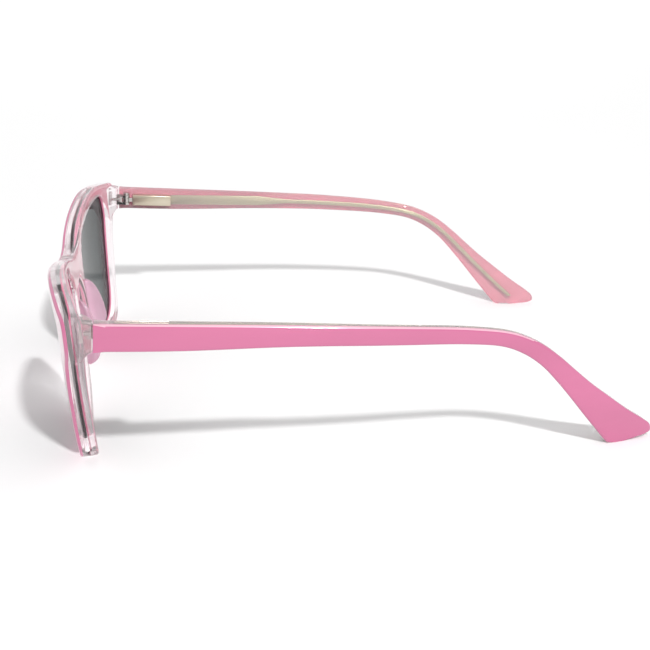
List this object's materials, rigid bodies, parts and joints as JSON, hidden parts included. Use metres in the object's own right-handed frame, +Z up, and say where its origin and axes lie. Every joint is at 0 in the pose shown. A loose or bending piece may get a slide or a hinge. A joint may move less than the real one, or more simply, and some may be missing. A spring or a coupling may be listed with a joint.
{
  "type": "cat eye sunglasses",
  "caption": "Adult cat-eye sunglasses in two-layer pink and clear acetate, with smoke lenses, glued nose pads and folding temples on sprung hinges.",
  "frame": {"origin": "centre of the bounding box's bottom face, on the surface that the open pair stands on", "axes": "+Z up, the front faces -Y, the temples run back along +Y, +X is the wearer's left"},
  "size_m": [0.1364, 0.149, 0.0446],
  "materials": {
    "pink_acetate": "opaque pink cellulose acetate sheet, polished",
    "crystal_acetate": "clear cellulose acetate sheet with a faint pink cast, polished",
    "smoke_lens": "smoke grey gradient sun lens",
    "hinge_metal": "nickel silver with a warm cast, satin",
    "steel": "plain bright steel"
  },
  "bodies": {
    "front": {"front_pink_layer": "pink_acetate", "front_crystal_layer": "crystal_acetate", "lens_left": "smoke_lens", "nose_pad_left": "crystal_acetate", "hinge_leaf_left": "hinge_metal", "hinge_screw_left": "steel", "lens_right": "smoke_lens", "nose_pad_right": "crystal_acetate", "hinge_leaf_right": "hinge_metal", "hinge_screw_right": "steel"},
    "left_slider": {"hinge_slider_left": "steel"},
    "left_temple": {"spring_housing_left": "hinge_metal", "spring_stop_left": "steel", "hinge_spring_left": "steel", "core_wire_left": "hinge_metal", "temple_crystal_layer_left": "crystal_acetate", "temple_pink_layer_left": "pink_acetate"},
    "right_slider": {"hinge_slider_right": "steel"},
    "right_temple": {"spring_housing_right": "hinge_metal", "spring_stop_right": "steel", "hinge_spring_right": "steel", "core_wire_right": "hinge_metal", "temple_crystal_layer_right": "crystal_acetate", "temple_pink_layer_right": "pink_acetate"}
  },
  "joints": [
    {"name": "left_fold", "type": "hinge", "parent": "front", "child": "left_slider", "pos_m": [0.0626, -0.0589, 0.0374], "axis": [0, 0.0558, 0.9984], "range_deg": [0, 86]},
    {"name": "left_spring_travel", "type": "slide", "parent": "left_slider", "child": "left_temple", "axis": [0, 0.9984, -0.0558], "range_m": [0, 0.0012], "stiffness_N_per_m": 2500, "springref_m": -0.001, "deforming": ["hinge_spring_left"]},
    {"name": "right_fold", "type": "hinge", "parent": "front", "child": "right_slider", "pos_m": [-0.0626, -0.0589, 0.0374], "axis": [0, -0.0558, -0.9984], "range_deg": [0, 78]},
    {"name": "right_spring_travel", "type": "slide", "parent": "right_slider", "child": "right_temple", "axis": [0, 0.9984, -0.0558], "range_m": [0, 0.0012], "stiffness_N_per_m": 2500, "springref_m": -0.001, "deforming": ["hinge_spring_right"]}
  ]
}
